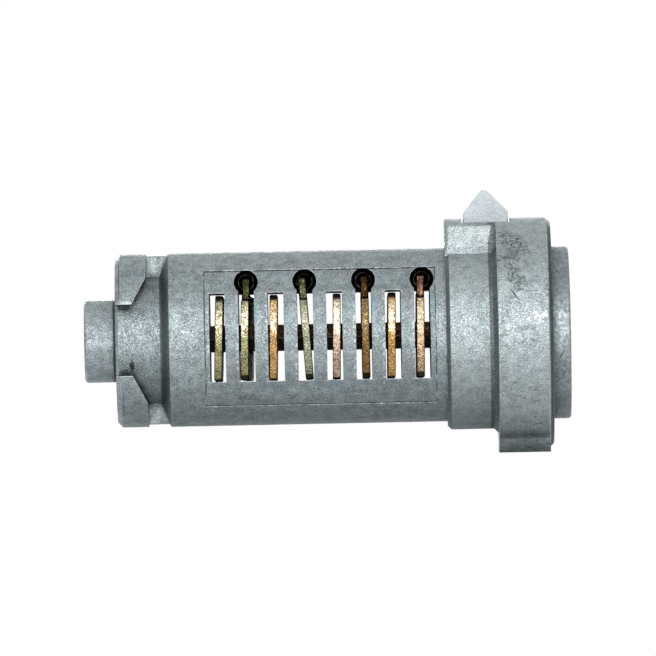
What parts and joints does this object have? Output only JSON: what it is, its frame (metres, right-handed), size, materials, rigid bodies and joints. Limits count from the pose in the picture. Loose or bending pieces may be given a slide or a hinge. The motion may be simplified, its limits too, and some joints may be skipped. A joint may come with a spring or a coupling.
{
  "type": "ignition lock cylinder",
  "caption": "Die-cast ignition lock plug with a row of sprung brass wafers in its barrel, a drive boss with two lugs at the tail and a white key-warning plunger on its ringed head.",
  "frame": {"origin": "on the plug's axis, at the rear end of the barrel's full diameter", "axes": "+X along the plug's axis from the drive boss towards the key's end, +Z the way the white plunger points"},
  "size_m": [0.0404, 0.0192, 0.0219],
  "materials": {
    "cast_zinc": null,
    "cap_zinc": "zinc alloy cap, satin grey with fine scratches",
    "wafer_brass": "stamped brass, tarnished, edges burnished",
    "blade_brass": "dark brown tarnished brass",
    "spring_steel": "drawn spring wire",
    "white_plastic": "natural white translucent plastic, satin"
  },
  "bodies": {
    "plug": {"plug_casting": "cast_zinc", "face_cap": "cap_zinc", "setting_blade": "blade_brass", "plunger_spring": "spring_steel", "wafer_spring_1": "spring_steel", "wafer_spring_2": "spring_steel", "wafer_spring_3": "spring_steel", "wafer_spring_4": "spring_steel", "wafer_spring_5": "spring_steel", "wafer_spring_6": "spring_steel", "wafer_spring_7": "spring_steel", "wafer_spring_8": "spring_steel"},
    "wafer_1": {"wafer_1": "wafer_brass"},
    "wafer_2": {"wafer_2": "wafer_brass"},
    "wafer_3": {"wafer_3": "wafer_brass"},
    "wafer_4": {"wafer_4": "wafer_brass"},
    "wafer_5": {"wafer_5": "wafer_brass"},
    "wafer_6": {"wafer_6": "wafer_brass"},
    "wafer_7": {"wafer_7": "wafer_brass"},
    "wafer_8": {"wafer_8": "wafer_brass"},
    "plunger": {"warning_plunger": "white_plastic"}
  },
  "joints": [
    {"name": "wafer_1_slide", "type": "slide", "parent": "plug", "child": "wafer_1", "axis": [0, -1, 0], "range_m": [0, 0.0008], "stiffness_N_per_m": 200, "springref_m": -0.002, "deforming": ["wafer_spring_1"]},
    {"name": "wafer_2_slide", "type": "slide", "parent": "plug", "child": "wafer_2", "axis": [0, 1, 0], "range_m": [0, 0.0008], "stiffness_N_per_m": 200, "springref_m": -0.002, "deforming": ["wafer_spring_2"]},
    {"name": "wafer_3_slide", "type": "slide", "parent": "plug", "child": "wafer_3", "axis": [0, -1, 0], "range_m": [0, 0.0008], "stiffness_N_per_m": 200, "springref_m": -0.002, "deforming": ["wafer_spring_3"]},
    {"name": "wafer_4_slide", "type": "slide", "parent": "plug", "child": "wafer_4", "axis": [0, 1, 0], "range_m": [0, 0.0008], "stiffness_N_per_m": 200, "springref_m": -0.002, "deforming": ["wafer_spring_4"]},
    {"name": "wafer_5_slide", "type": "slide", "parent": "plug", "child": "wafer_5", "axis": [0, -1, 0], "range_m": [0, 0.0008], "stiffness_N_per_m": 200, "springref_m": -0.002, "deforming": ["wafer_spring_5"]},
    {"name": "wafer_6_slide", "type": "slide", "parent": "plug", "child": "wafer_6", "axis": [0, 1, 0], "range_m": [0, 0.0008], "stiffness_N_per_m": 200, "springref_m": -0.002, "deforming": ["wafer_spring_6"]},
    {"name": "wafer_7_slide", "type": "slide", "parent": "plug", "child": "wafer_7", "axis": [0, -1, 0], "range_m": [0, 0.0008], "stiffness_N_per_m": 200, "springref_m": -0.002, "deforming": ["wafer_spring_7"]},
    {"name": "wafer_8_slide", "type": "slide", "parent": "plug", "child": "wafer_8", "axis": [0, 1, 0], "range_m": [0, 0.0008], "stiffness_N_per_m": 200, "springref_m": -0.002, "deforming": ["wafer_spring_8"]},
    {"name": "plunger_slide", "type": "slide", "parent": "plug", "child": "plunger", "axis": [0, 0, -1], "range_m": [0, 0.0016], "stiffness_N_per_m": 300, "springref_m": -0.002, "deforming": ["plunger_spring"]}
  ]
}
